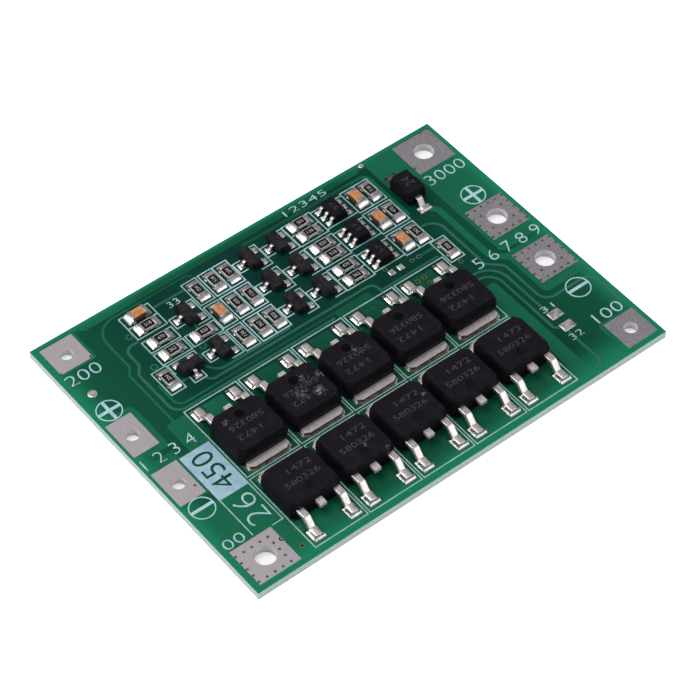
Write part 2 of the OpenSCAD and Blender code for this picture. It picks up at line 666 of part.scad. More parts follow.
module solder_joints() color([0.88, 0.87, 0.86]) {
  film = seat_z - solder_t;
  at_all(RESISTORS, film) chip_solder(0.38);
  at_all(CAPACITORS, film) chip_solder(0.55);
  at_all(SOTS, film) fine_solder(sot_l, sot_land_w, [0], [-fine_pitch, fine_pitch]);
  at_all(ICS, film) fine_solder(ic_l, ic_land_w, ic_rows, ic_rows);
  on_board(diode_at[0], diode_at[1], film) for (turn = [0, 180]) rotate(turn)
    translate([0, diode_w / 2, 0]) lead_solder(1.6, diode_foot, diode_reach, 0.25, 0.2);
  for (i = [0 : count - 1]) translate([0, 0, -solder_t]) at_mosfet(i) mosfet_solder();
}

// =====================================================================
// printed legend

module box_line(l, w, print_h)
  difference() {
    translate([-(l + print_w) / 2, -(w + print_w) / 2, 0]) cube([l + print_w, w + print_w, print_h]);
    translate([-(l - print_w) / 2, -(w - print_w) / 2, -1]) cube([l - print_w, w - print_w, print_h + 2]);
  }

// Printed bar between two points, square ended
module bar(x0, y0, x1, y1, h) plate(
  min(x0, x1) - print_w / 2, min(y0, y1) - print_w / 2,
  max(x0, x1) + print_w / 2, max(y0, y1) + print_w / 2, h);

module sot_bracket(h) {
  bar(-1.9, -0.79, -1.9, 0.79, h);
  for (y = [-0.79, 0.79]) bar(-1.9, y, -0.9, y, h);
  bar(1.85, -1.77, 1.85, 1.77, h);
  for (y = [-1.77, 1.77]) bar(0.35, y, 1.85, y, h);
}

module polarity_sign(plus, h) {
  difference() {
    cylinder(d = sign_d, h = h);
    translate([0, 0, -1]) cylinder(d = sign_d - 2 * print_w, h = h + 2);
  }
  span = sign_d - 1.5 * print_w;
  translate([-span / 2, -sign_bar / 2, 0]) cube([span, sign_bar, h]);
  if (plus) translate([-sign_bar / 2, -span / 2, 0]) cube([sign_bar, span, h]);
}

module legend_shapes(h) {
  for (i = [0 : columns - 1], side = [-1, 1]) {
    depth = bank_w / 2 - row_split / 2;
    translate([mosfet_x(i), bank_axis + side * (row_split + depth) / 2, 0])
      box_line(mosfet_pitch - frame_split, depth, h);
  }
  for (p = concat(RESISTORS, CAPACITORS)) translate([p[0], p[1], 0]) {
    size = p[2] == 0 ? print_lying : print_turned;
    box_line(size[0], size[1], h);
  }
  for (p = SOTS) translate([p[0], p[1], 0]) rotate(p[2]) sot_bracket(h);
  for (p = ICS, y = [-1.6, 1.6]) bar(p[0] - 2.1, p[1] + y, p[0] + 2.2, p[1] + y, h);
  sign_y = charge_land_w / 2 + sign_d / 2;
  translate([side_inset + 1.4, pair_y[0] + sign_y + 0.05, 0]) polarity_sign(true, h);
  translate([side_inset + 1.4, pair_y[1] - sign_y, 0]) polarity_sign(false, h);
  translate([right_land_x, pair_y[0] + sign_y + 0.05, 0]) polarity_sign(true, h);
  translate([right_land_x, pair_y[1] - sign_y - 1.4, 0]) polarity_sign(false, h);
  // rating field and the open frame below it
  field_x = left_zone - 0.1;
  plate(field_x - rating_l, bank_axis - 0.5, field_x, bank_axis - 0.5 + rating_w, h);
  bar(field_x - rating_l + 0.1, bank_axis - 0.5, field_x - rating_l + 0.1, corner_inset + power_land_w + 0.3, h);
  bar(field_x - 0.1, bank_axis - 0.5, field_x - 0.1, corner_inset + power_land_w, h);
  bar(field_x - 1.4, corner_inset + power_land_w, field_x - 0.1, corner_inset + power_land_w, h);
}

module silkscreen()
  color([0.72, 0.86, 0.86]) on_board(0, 0, board_t) difference() {
    legend_shapes(print_top - board_t);
    copper_shapes();
    mask_windows();
  }

// =====================================================================

board();
copper_tracks();
silkscreen();
test_pads();
solder_joints();
for (land = LANDS)
  terminal(land);
for (i = [0 : count - 1]) {
  mosfet_case(i);
  mosfet_tab(i);
  mosfet_leads(i);
}
for (i = [0 : len(ICS) - 1]) {
  monitor_case(i);
  monitor_leads(i);
}
transistor_cases();
transistor_leads();
diode_case();
diode_leads();
resistor_bodies();
resistor_ends();
resistor_coats();
capacitor_bodies();
capacitor_ends();
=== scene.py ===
import math

import bmesh
import bpy
from mathutils import Matrix, Vector


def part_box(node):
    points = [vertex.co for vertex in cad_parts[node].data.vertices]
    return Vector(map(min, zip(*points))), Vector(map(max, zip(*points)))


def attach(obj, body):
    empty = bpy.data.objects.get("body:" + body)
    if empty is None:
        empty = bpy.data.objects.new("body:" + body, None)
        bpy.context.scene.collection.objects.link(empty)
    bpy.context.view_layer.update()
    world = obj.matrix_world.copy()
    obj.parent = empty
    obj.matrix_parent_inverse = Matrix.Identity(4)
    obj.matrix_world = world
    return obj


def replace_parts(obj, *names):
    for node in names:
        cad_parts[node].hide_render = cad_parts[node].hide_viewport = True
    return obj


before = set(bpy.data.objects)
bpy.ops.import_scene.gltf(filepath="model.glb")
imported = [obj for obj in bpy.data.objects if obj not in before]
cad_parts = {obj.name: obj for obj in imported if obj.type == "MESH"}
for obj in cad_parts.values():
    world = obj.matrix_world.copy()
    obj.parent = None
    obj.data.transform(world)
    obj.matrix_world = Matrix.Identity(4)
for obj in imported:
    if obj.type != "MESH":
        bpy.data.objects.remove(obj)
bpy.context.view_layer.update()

# ---------------------------------------------------------------------------
# Table, lamps and camera
# The board lies bare on a white table in a small light tent. A wide soft box hangs above
# and behind it, and two low panels stand at the front right and the back left. The table is
# one-sided, so the board's underside can be seen from below.
mm = 0.001
half_long, half_deep = 28 * mm, 20.4 * mm
row_front = 20.405 * mm
laminate_top, land_top, print_top = 1.0 * mm, 1.07 * mm, 1.08 * mm


def tone(red, green, blue):
    """Colour from its 0 to 255 values as seen."""
    return tuple(v / 255 / 12.92 if v < 11 else ((v / 255 + 0.055) / 1.055) ** 2.4
                 for v in (red, green, blue))


def maths(tree, operation, *values):
    """Maths node on sockets or plain numbers; returns its result."""
    node = tree.nodes.new("ShaderNodeMath")
    node.operation = operation
    for socket, value in zip(node.inputs, values):
        if isinstance(value, (int, float)):
            socket.default_value = value
        else:
            tree.links.new(value, socket)
    return node.outputs[0]


def place_of(tree):
    """Place on the piece's own coordinates, which are the shared frame's."""
    return tree.nodes.new("ShaderNodeTexCoord").outputs["Object"]


def ramped(tree, value, low, high, start=0.0, end=1.0):
    """Value eased from start to end as it goes from low to high."""
    node = tree.nodes.new("ShaderNodeMapRange")
    node.interpolation_type = "SMOOTHSTEP"
    for name, number in (("From Min", low), ("From Max", high), ("To Min", start), ("To Max", end)):
        node.inputs[name].default_value = number
    tree.links.new(value, node.inputs["Value"])
    return node.outputs["Result"]


def axes_of(tree):
    """The place's three numbers, by the names X, Y and Z."""
    apart = tree.nodes.new("ShaderNodeSeparateXYZ")
    tree.links.new(place_of(tree), apart.inputs[0])
    return apart.outputs


def inside_of(tree, half_x, half_y):
    """Depth inside a rectangle round the origin, in metres."""
    axes = axes_of(tree)
    depths = [maths(tree, "SUBTRACT", half, maths(tree, "ABSOLUTE", axes[axis]))
              for axis, half in (("X", half_x), ("Y", half_y))]
    return maths(tree, "MINIMUM", *depths)


scene = bpy.context.scene
scene.view_settings.view_transform = "Standard"

table_drop = 0.03 * mm
table_mesh = bpy.data.meshes.new("table")
sheet = bmesh.new()
bmesh.ops.create_grid(sheet, x_segments=1, y_segments=1, size=2.0,
                      matrix=Matrix.Translation((0, 0, -table_drop)))
sheet.to_mesh(table_mesh)
sheet.free()
table = bpy.data.objects.new("table", table_mesh)
scene.collection.objects.link(table)

table_paint = bpy.data.materials.new("white table")
table_paint.use_nodes = True
tree = table_paint.node_tree
nodes, links = tree.nodes, tree.links
matt = nodes["Principled BSDF"]
matt.inputs["Base Color"].default_value = (0.8, 0.8, 0.8, 1)
matt.inputs["Roughness"].default_value = 0.9
matt.inputs["Specular IOR Level"].default_value = 0.1
# From the board's outline to 2 mm inside it, the table's glow fades to a lower strength: a painted
# shadow under the board, seen through its holes.
glow_around, painted_shadow_glow = 0.84, 0.3
depth_inside = inside_of(tree, half_long, half_deep)
lit = nodes.new("ShaderNodeEmission")
links.new(ramped(tree, depth_inside, 0, 2 * mm, glow_around, painted_shadow_glow), lit.inputs["Strength"])
glowing = nodes.new("ShaderNodeAddShader")
links.new(matt.outputs[0], glowing.inputs[0])
links.new(lit.outputs[0], glowing.inputs[1])
ray = nodes.new("ShaderNodeLightPath")
seen = maths(tree, "MAXIMUM", ray.outputs["Is Camera Ray"], ray.outputs["Is Transmission Ray"])
surface = nodes.new("ShaderNodeMixShader")
links.new(seen, surface.inputs["Fac"])
links.new(matt.outputs[0], surface.inputs[1])
links.new(glowing.outputs[0], surface.inputs[2])
bounced = maths(tree, "SUBTRACT", 1.0, seen)
under_board = maths(tree, "MULTIPLY", bounced, ramped(tree, depth_inside, 0, 0.1 * mm))
see_through = maths(tree, "MAXIMUM", under_board,
                    nodes.new("ShaderNodeNewGeometry").outputs["Backfacing"])
one_sided = nodes.new("ShaderNodeMixShader")
links.new(see_through, one_sided.inputs["Fac"])
links.new(surface.outputs[0], one_sided.inputs[1])
links.new(nodes.new("ShaderNodeBsdfTransparent").outputs[0], one_sided.inputs[2])
links.new(one_sided.outputs[0], nodes["Material Output"].inputs["Surface"])
table_mesh.materials.append(table_paint)

tent = bpy.data.worlds.new("tent")
scene.world = tent
tent.use_nodes = True
walls = tent.node_tree.nodes["Background"]
walls.inputs["Color"].default_value = (0.97, 0.98, 1.0, 1)
walls.inputs["Strength"].default_value = 0.28


def soft_box(name, place, size, power):
    """Rectangular lamp that looks at the origin; sizes in metres, power in watts."""
    lamp = bpy.data.lights.new(name, "AREA")
    lamp.shape = "RECTANGLE"
    lamp.size, lamp.size_y = size
    lamp.energy = power
    hung = bpy.data.objects.new(name, lamp)
    aimed = (-Vector(place)).to_track_quat("-Z", "Y").to_matrix().to_4x4()
    hung.matrix_world = Matrix.Translation(place) @ aimed
    scene.collection.objects.link(hung)


soft_box("top_box", (-0.13, 0.15, 0.44), (0.3, 0.28), 1.15)
soft_box("front_panel", (0.21, -0.35, 0.3), (0.36, 0.32), 0.62)
soft_box("back_panel", (-0.36, 0.25, 0.19), (0.3, 0.2), 0.5)

heading, tilt, distance = math.radians(38.511), math.radians(49.559), 299.5 * mm
aim = Vector((-0.0794, 1.4445, 0)) * mm
ahead = Vector((math.sin(heading) * math.cos(tilt), math.cos(heading) * math.cos(tilt),
                -math.sin(tilt)))
lens = bpy.data.cameras.new("camera")
lens.lens = 145.17
lens.sensor_width = 36
lens.clip_start, lens.clip_end = 0.01, 10
camera = bpy.data.objects.new("camera", lens)
camera.matrix_world = (Matrix.Translation(aim - ahead * distance)
                       @ ahead.to_track_quat("-Z", "Y").to_matrix().to_4x4())
scene.collection.objects.link(camera)
scene.camera = camera

# ---------------------------------------------------------------------------
# Laminate
# A 1 mm sheet of woven glass and epoxy, routed to size. Both faces carry green solder mask.
# The routed edges stay bare and whitish, and the light they let in makes the margins paler.


def finish(name, colour, roughness, metallic=0.0, specular=0.5):
    """New node material with its base values."""
    made = bpy.data.materials.new(name)
    made.use_nodes = True
    shader = made.node_tree.nodes["Principled BSDF"]
    shader.inputs["Base Color"].default_value = (*colour, 1)
    shader.inputs["Roughness"].default_value = roughness
    shader.inputs["Metallic"].default_value = metallic
    shader.inputs["Specular IOR Level"].default_value = specular
    return made


def cloud(made, scale, detail=2.0, stretch=(1, 1, 1)):
    """Soft noise on the piece's own coordinates, about scale spots to the metre."""
    tree = made.node_tree
    turn = tree.nodes.new("ShaderNodeMapping")
    turn.inputs["Scale"].default_value = stretch
    noise = tree.nodes.new("ShaderNodeTexNoise")
    noise.inputs["Scale"].default_value = scale
    noise.inputs["Detail"].default_value = detail
    tree.links.new(place_of(tree), turn.inputs["Vector"])
    tree.links.new(turn.outputs["Vector"], noise.inputs["Vector"])
    return noise.outputs["Fac"]


def coloured(made, value, dark, light):
    """Base colour that goes from dark to light with a soft noise's value."""
    return mixed(made, ramped(made.node_tree, value, 0.35, 0.65), (*dark, 1), light)


def mixed(made, factor, under, over):
    """Puts the colour over on the colour or socket under, and wires the result in."""
    tree = made.node_tree
    mix = tree.nodes.new("ShaderNodeMix")
    mix.data_type = "RGBA"
    tree.links.new(factor, mix.inputs["Factor"])
    if isinstance(under, tuple):
        mix.inputs["A"].default_value = under
    else:
        tree.links.new(under, mix.inputs["A"])
    mix.inputs["B"].default_value = (*over, 1)
    tree.links.new(mix.outputs["Result"], tree.nodes["Principled BSDF"].inputs["Base Color"])
    return mix.outputs["Result"]


def uneven_gloss(made, value, smooth, rough):
    """Roughness that goes from smooth to rough with a soft noise's value."""
    tree = made.node_tree
    tree.links.new(ramped(tree, value, 0.3, 0.7, smooth, rough),
                   tree.nodes["Principled BSDF"].inputs["Roughness"])


def relief(made, value, depth):
    """Fine unevenness of the surface, depth metres high."""
    tree = made.node_tree
    bump = tree.nodes.new("ShaderNodeBump")
    bump.inputs["Distance"].default_value = depth
    bump.inputs["Strength"].default_value = 1.0
    tree.links.new(value, bump.inputs["Height"])
    tree.links.new(bump.outputs["Normal"], tree.nodes["Principled BSDF"].inputs["Normal"])


def margins(tree, reach):
    """1 at the board's edges, fading to 0 at reach inside them; wide in front, narrow behind."""
    axes = axes_of(tree)
    side = maths(tree, "SUBTRACT", half_long, maths(tree, "ABSOLUTE", axes["X"]))
    front = maths(tree, "MULTIPLY", maths(tree, "ADD", axes["Y"], half_deep), 0.65)
    back = maths(tree, "MULTIPLY", maths(tree, "SUBTRACT", half_deep, axes["Y"]), 2.2)
    nearest = maths(tree, "MINIMUM", side, maths(tree, "MINIMUM", front, back))
    return maths(tree, "POWER", ramped(tree, nearest, 0, reach, 1, 0), 1.6)


def ends(tree, start, end):
    """0 in the middle of the board, rising to 1 from start to end along X: the weight of painted
    light at the ends.
    """
    return ramped(tree, maths(tree, "ABSOLUTE", axes_of(tree)["X"]), start, end)


def flux(tree):
    """Strip on top where flux has dried, in the gap between the rows of power transistors."""
    axes = axes_of(tree)
    gap_back, bank_left = 8.1 * mm, 2 * mm
    off_gap = maths(tree, "ABSOLUTE", maths(tree, "ADD", axes["Y"], gap_back))
    off_middle = maths(tree, "ABSOLUTE", maths(tree, "ADD", axes["X"], bank_left))
    across = ramped(tree, off_gap, 0.5 * mm, 1.1 * mm, 1, 0)
    along = ramped(tree, off_middle, 17 * mm, 18 * mm, 1, 0)
    on_top = maths(tree, "GREATER_THAN", axes["Z"], laminate_top / 2)
    return maths(tree, "MULTIPLY", maths(tree, "MULTIPLY", across, along), on_top)


def masked(name, dark, light, end_light_tone, edge_light_tone, gloss, end_zone=(14, 25), reach=2.6):
    """Green mask, paler towards the board's ends and edges as painted light, stained by flux;
    lengths in mm.
    """
    made = finish(name, dark, 0.3, specular=0.1)
    tree = made.node_tree
    colour = coloured(made, cloud(made, 170, 3.0), dark, light)
    # Painted light: paler towards the board's ends along X, and near its edges.
    colour = mixed(made, ends(tree, end_zone[0] * mm, end_zone[1] * mm), colour, end_light_tone)
    colour = mixed(made, margins(tree, reach * mm), colour, edge_light_tone)
    patches = ramped(tree, cloud(made, 2200, 2.0), 0.42, 0.6)
    stain = maths(tree, "MULTIPLY", maths(tree, "MULTIPLY", flux(tree), patches), 0.6)
    mixed(made, stain, colour, tone(52, 62, 34))
    relief(made, cloud(made, 2600, 1.0), 0.003 * mm)
    uneven_gloss(made, cloud(made, 900), *gloss)
    return made


mask_on_laminate = masked("mask on laminate", tone(4, 56, 48), tone(8, 62, 53),
                          tone(12, 82, 58), tone(28, 130, 94), (0.28, 0.4), reach=3.6)

routed_edge = finish("routed edge", tone(226, 238, 232), 0.8, specular=0.2)
coloured(routed_edge, cloud(routed_edge, 5000, 2.0, (1, 1, 4)),
         tone(196, 220, 208), tone(230, 242, 235))

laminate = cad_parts["board"]
laminate.data.materials.clear()
laminate.data.materials.append(mask_on_laminate)
laminate.data.materials.append(routed_edge)
for face in laminate.data.polygons:
    face.material_index = 0 if abs(face.normal.z) > 0.5 else 1

# ---------------------------------------------------------------------------
# Copper under the mask
# Etched foil with the same green film over it. The film is thin over copper, so the wide
# areas look lighter than bare laminate; the narrow tracks are lighter and greyer still, partly
# from the thin film and partly a painted sheen.


def loose_parts(body):
    """Lists of faces of a mesh, one list for each piece that hangs together."""
    left = set(body.faces)
    parts = []
    while left:
        part = [left.pop()]
        for face in part:
            beside = {other for edge in face.edges for other in edge.link_faces if other in left}
            left -= beside
            part.extend(beside)
        parts.append(part)
    return parts


def opened(node):
    """CAD node's mesh with its seams joined."""
    body = bmesh.new()
    body.from_mesh(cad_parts[node].data)
    bmesh.ops.remove_doubles(body, verts=body.verts, dist=0.0005 * mm)
    bmesh.ops.dissolve_limit(body, angle_limit=math.radians(1), verts=body.verts, edges=body.edges)
    return body


def rounded(body, width, segments, sharp=28):
    """Rounds the edges that turn by more than sharp degrees, and shades the faces smooth."""
    edges = [e for e in body.edges
             if len(e.link_faces) == 2 and e.calc_face_angle() > math.radians(sharp)]
    bmesh.ops.bevel(body, geom=edges, offset=width, offset_type="OFFSET", affect="EDGES",
                    segments=segments, profile=0.5, material=-1, clamp_overlap=True)
    for face in body.faces:
        face.smooth = True


def closed(body, name, paints, even=False):
    """Object from a finished mesh, painted and riding on the board."""
    mesh = bpy.data.meshes.new(name)
    body.to_mesh(mesh)
    body.free()
    for paint in paints:
        mesh.materials.append(paint)
    piece = bpy.data.objects.new(name, mesh)
    scene.collection.objects.link(piece)
    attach(piece, "root")
    if even:
        piece.modifiers.new("even shading", "WEIGHTED_NORMAL").keep_sharp = True
    return piece


def softened(node, width, paints, segments=2, sharp=28, body=None, pick=None):
    """Copy of a CAD node with its sharp edges rounded, that stands for the node."""
    body = body or opened(node)
    rounded(body, width, segments, sharp)
    for face in body.faces if pick else []:
        face.material_index = pick(face)
    piece = closed(body, node + "_soft", paints, even=True)
    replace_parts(piece, node)
    return piece


def fattened(part, by):
    """Moves the sides of a flat part outwards."""
    moved = {}
    for v in {v for face in part for v in face.verts}:
        sides = [face.normal for face in v.link_faces if abs(face.normal.z) < 0.5]
        if sides:
            way = sum(sides, Vector())
            way.z = 0
            way.normalize()
            moved[v] = way * by / max(0.4, way.dot(sides[0]))
    for v, step in moved.items():
        v.co += step


mask_on_copper = masked("mask on copper", tone(14, 80, 57), tone(20, 88, 63),
                        tone(24, 106, 77), tone(30, 132, 96), (0.24, 0.36), (12, 18.5), 2.2)
# Lighter and greyer than the mask on wide copper: partly the thin film, partly a painted sheen.
track_mask_and_sheen = masked("mask on track", tone(38, 96, 80), tone(46, 104, 86),
                       tone(50, 114, 92), tone(54, 124, 98), (0.24, 0.36))

widest_track = 0.36 * mm
foil = opened("copper_tracks")
for part in loose_parts(foil):
    top = [face for face in part if face.normal.z > 0.9]
    area = sum(face.calc_area() for face in top)
    rim = sum(edge.calc_length() for face in top for edge in face.edges
              if any(other.normal.z < 0.9 for other in edge.link_faces))
    if 2 * area / rim < widest_track:
        for face in part:
            face.material_index = 1
        fattened(part, 0.02 * mm)
rounded(foil, 0.03 * mm, 1)
copper = closed(foil, "copper_soft", [mask_on_copper, track_mask_and_sheen], even=True)
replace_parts(copper, "copper_tracks")

# ---------------------------------------------------------------------------
# Wire lands and bare pads
# Copper left free of mask and levelled with hot tin, which sets in a grey, slightly grainy
# skin, painted paler on the left as a painted reflection. Each wire land has a plated hole;
# the pads carry a low cushion.
land_tin = finish("levelled tin", tone(166, 160, 166), 0.46, 0.55)
land_colour = coloured(land_tin, cloud(land_tin, 5200, 3.0),
                       tone(150, 143, 149), tone(170, 163, 170))
land_tree = land_tin.node_tree
# Painted reflection: the lands' tin is paler towards the left.
reflection_to_left = ramped(land_tree, axes_of(land_tree)["X"], -10 * mm, 10 * mm, 1, 0)
mixed(land_tin, maths(land_tree, "MULTIPLY", reflection_to_left, 0.6), land_colour, tone(200, 192, 196))
relief(land_tin, cloud(land_tin, 3400, 2.0), 0.012 * mm)
# The same tin on the bores' walls, painted near-white and matt: painted light in the holes.
lit_barrel_tin = finish("tin in the hole", tone(236, 232, 236), 0.5, 0.1)
coloured(lit_barrel_tin, cloud(lit_barrel_tin, 3000, 3.0), tone(226, 221, 226), tone(246, 243, 246))

pad_tin = finish("cushion of tin", tone(215, 210, 208), 0.36, 0.8)
coloured(pad_tin, cloud(pad_tin, 2000, 2.0), tone(180, 174, 172), tone(232, 228, 226))
relief(pad_tin, cloud(pad_tin, 1800, 2.0), 0.02 * mm)

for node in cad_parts:
    if node.startswith("terminal_"):
        softened(node, 0.035 * mm, [land_tin, lit_barrel_tin],
                 pick=lambda face: int(abs(face.normal.z) < 0.5
                                       and face.calc_center_median().z < laminate_top))

pads = opened("test_pads")
tops = [face for face in pads.faces if face.normal.z > 0.9]
for thickness, depth in ((0.05, 0.03), (0.12, 0.02), (0.2, 0.01)):
    bmesh.ops.inset_individual(pads, faces=tops, thickness=thickness * mm, depth=depth * mm)
rounded(pads, 0.02 * mm, 1, 50)
cushions = closed(pads, "pad_cushions", [pad_tin])
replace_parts(cushions, "test_pads")

# ---------------------------------------------------------------------------
# Stitching holes
# Small drilled and plated holes that tie the two faces' copper together. On the lands tin
# has filled them to shallow dimples; in the mask their bores are painted dark, a painted shade,
# with a thin olive rim.


def to_row(x, y):
    """Place on the board measured from its front left corner, in mm, in the shared frame."""
    return Vector((x * mm - half_long, y * mm - row_front, 0))


dimple = finish("filled hole", tone(98, 92, 98), 0.5, 0.5)
coloured(dimple, cloud(dimple, 4000), tone(76, 72, 76), tone(116, 110, 114))
# Painted shade: the dark floors of the open and the tented holes stand in for the shade down their
# bores.
open_hole = finish("open hole", tone(8, 10, 8), 0.6, specular=0.1)
coloured(open_hole, cloud(open_hole, 4000), tone(4, 8, 6), tone(12, 16, 12))
shaded_hole = finish("hole under mask", tone(12, 44, 30), 0.6, specular=0.1)
coloured(shaded_hole, cloud(shaded_hole, 4000), tone(8, 36, 24), tone(16, 52, 36))
hole_rim = finish("rim of a hole", tone(96, 104, 62), 0.5, specular=0.2)
coloured(hole_rim, cloud(hole_rim, 5000), tone(62, 98, 60), tone(112, 108, 66))


def eyelets(name, places, paints, z, bore, rim):
    """Flat rims with a sunk middle, one at each place.

    z is the height of the rims, and bore and rim are their radii, all in mm.
    """
    skirt, sunk, slope = 0.03 * mm, 0.018 * mm, 0.03 * mm
    body = bmesh.new()
    for x, y in places:
        centre = to_row(x, y) + Vector((0, 0, z * mm))
        made = bmesh.ops.create_circle(body, cap_ends=True, segments=14, radius=rim * mm,
                                       matrix=Matrix.Translation(centre))
        face = made["verts"][0].link_faces[0]
        face.normal_update()
        if face.normal.z < 0:
            face.normal_flip()
        walls = bmesh.ops.extrude_edge_only(body, edges=list(face.edges))["geom"]
        feet = [part for part in walls if isinstance(part, bmesh.types.BMVert)]
        bmesh.ops.translate(body, verts=feet, vec=(0, 0, -skirt))
        bmesh.ops.inset_region(body, faces=[face], thickness=(rim - bore) * mm, use_boundary=True)
        face.material_index = 1
        bmesh.ops.inset_region(body, faces=[face], thickness=slope, depth=-sunk, use_boundary=True)
    closed(body, name, paints)


load_pitch, corner_pitch = (1.0, 1.1), (1.03, 0.98)
load_clear, corner_clear = 1.75 * mm, 1.7
land_holes = []
for node in ("terminal_load_plus", "terminal_load_minus"):
    low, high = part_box(node)
    middle = [(low[axis] + high[axis]) / 2 for axis in (0, 1)]
    for column in range(6):
        for row in range(5):
            x = middle[0] + (column - 2.5) * load_pitch[0] * mm
            y = middle[1] + (row - 2) * load_pitch[1] * mm
            if math.hypot(x - middle[0], y - middle[1]) > load_clear:
                land_holes.append(((x + half_long) / mm, (y + row_front) / mm))
for column in range(5):
    for row in range(5):
        x, y = corner_pitch[0] * column, corner_pitch[1] * row
        if math.hypot(x - 1.9 * corner_pitch[0], y - 2 * corner_pitch[1]) > corner_clear:
            land_holes.append((0.95 + x, 1.1 + y))
land_holes += [(50.2, 36.0), (54.3, 40.1), (55.4, 40.1), (0.85, 36.0), (4.8, 36.1), (3.2, 15.0),
               (51.05, 4.9)]
eyelets("filled_holes", land_holes, [dimple, dimple], z=1.09, bore=0.13, rim=0.16)

eyelets("open_holes",
        [(6.05, 3.95), (8.05, 3.95), (7.15, 1.95), (22.35, 3.95), (40.83, 25.25), (41.85, 25.25),
         (37.65, 26.1), (39.4, 22.45), (40.37, 22.45), (40.35, 21.5), (45.05, 21.75)],
        [hole_rim, open_hole], z=1.07, bore=0.15, rim=0.3)
eyelets("masked_holes",
        [(7.0, 4.9), (7.05, 3.0), (44.8, 4.95), (44.8, 3.9), (32.2, 22.5), (33.1, 22.5)]
        + [(50.1 + 1.03 * column, 12.9) for column in range(6)],
        [track_mask_and_sheen, shaded_hole], z=1.07, bore=0.1, rim=0.24)
eyelets("covered_holes", [(9.7, 35.75), (9.3, 30.6), (15.2, 29.75)],
        [track_mask_and_sheen, mask_on_laminate], z=1.03, bore=0.26, rim=0.46)

# ---------------------------------------------------------------------------
# Printed legend
# Pale epoxy ink, screened over mask and foil in one pass and baked on. Beside the frames and
# signs it holds plain numbers: one at each land, and larger ones in and below the rating field.
legend_ink = finish("legend ink", tone(176, 214, 220), 0.6, specular=0.2)
coloured(legend_ink, cloud(legend_ink, 1500, 3.0), tone(166, 202, 210), tone(188, 224, 228))
relief(legend_ink, cloud(legend_ink, 9000, 2.0), 0.006 * mm)
line_ink = finish("thin legend ink", tone(156, 194, 192), 0.6, specular=0.2)
coloured(line_ink, cloud(line_ink, 1500, 3.0), tone(144, 184, 182), tone(168, 204, 202))
relief(line_ink, cloud(line_ink, 9000, 2.0), 0.006 * mm)

field_ink = finish("ink of the rating field", tone(165, 196, 212), 0.55, specular=0.2)
coloured(field_ink, cloud(field_ink, 1200, 3.0), tone(158, 189, 206), tone(172, 203, 218))

field_area, thin_line, ink_depth = 12 * mm * mm, 0.16 * mm, 0.08 * mm
legend = opened("silkscreen")
bmesh.ops.delete(legend, geom=[face for face in legend.faces if face.normal.z < 0.9],
                 context="FACES")
rims = bmesh.ops.inset_region(legend, faces=list(legend.faces), thickness=0.02 * mm,
                              use_even_offset=True, use_boundary=True)["faces"]
bmesh.ops.delete(legend, geom=rims, context="FACES")
field_front = to_row(0, 11.72)
bmesh.ops.bisect_plane(legend, geom=[*legend.verts, *legend.edges, *legend.faces],
                       plane_co=field_front, plane_no=(0, 1, 0))
for part in loose_parts(legend):
    area = sum(face.calc_area() for face in part)
    rim = sum(edge.calc_length() for face in part for edge in face.edges if edge.is_boundary)
    with_field = area > field_area
    for face in part:
        if with_field and face.calc_center_median().y > field_front.y:
            face.material_index = 2
        else:
            face.material_index = int(with_field or 2 * area / rim < thin_line)
sunk = bmesh.ops.extrude_face_region(legend, geom=list(legend.faces), use_keep_orig=True)["geom"]
bmesh.ops.translate(legend, verts=[v for v in sunk if isinstance(v, bmesh.types.BMVert)],
                    vec=(0, 0, -ink_depth))
bmesh.ops.recalc_face_normals(legend, faces=legend.faces)
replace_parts(closed(legend, "legend_soft", [legend_ink, line_ink, field_ink]), "silkscreen")


def number(body, text, low, high, turn, bottom, top, thin=0.0):
    """Adds a number to a mesh, fitted between the corners low and high, from bottom to top.

    It is turned by whole right angles, in degrees, and thin thickens or thins its strokes.
    """
    curve = bpy.data.curves.new("number", "FONT")
    curve.body = text
    curve.resolution_u = 3
    curve.offset = thin
    held = bpy.data.objects.new("number", curve)
    mesh = bpy.data.meshes.new_from_object(held)
    bpy.data.objects.remove(held)
    bpy.data.curves.remove(curve)
    glyphs = bmesh.new()
    glyphs.from_mesh(mesh)
    bpy.data.meshes.remove(mesh)
    bmesh.ops.rotate(glyphs, verts=glyphs.verts, cent=(0, 0, 0),
                     matrix=Matrix.Rotation(math.radians(turn), 3, "Z"))
    raised = bmesh.ops.extrude_face_region(glyphs, geom=list(glyphs.faces))
    lifted = [v for v in raised["geom"] if isinstance(v, bmesh.types.BMVert)]
    bmesh.ops.translate(glyphs, verts=lifted, vec=(0, 0, 1))
    ranges = [(min(v.co[k] for v in glyphs.verts), max(v.co[k] for v in glyphs.verts))
              for k in (0, 1)]
    for v in glyphs.verts:
        for k in (0, 1):
            part = (v.co[k] - ranges[k][0]) / (ranges[k][1] - ranges[k][0])
            v.co[k] = low[k] + part * (high[k] - low[k])
        v.co.z = top if v.co.z > 0.5 else bottom
    bmesh.ops.recalc_face_normals(glyphs, faces=glyphs.faces)
    spare = bpy.data.meshes.new("spare")
    glyphs.to_mesh(spare)
    glyphs.free()
    body.from_mesh(spare)
    bpy.data.meshes.remove(spare)


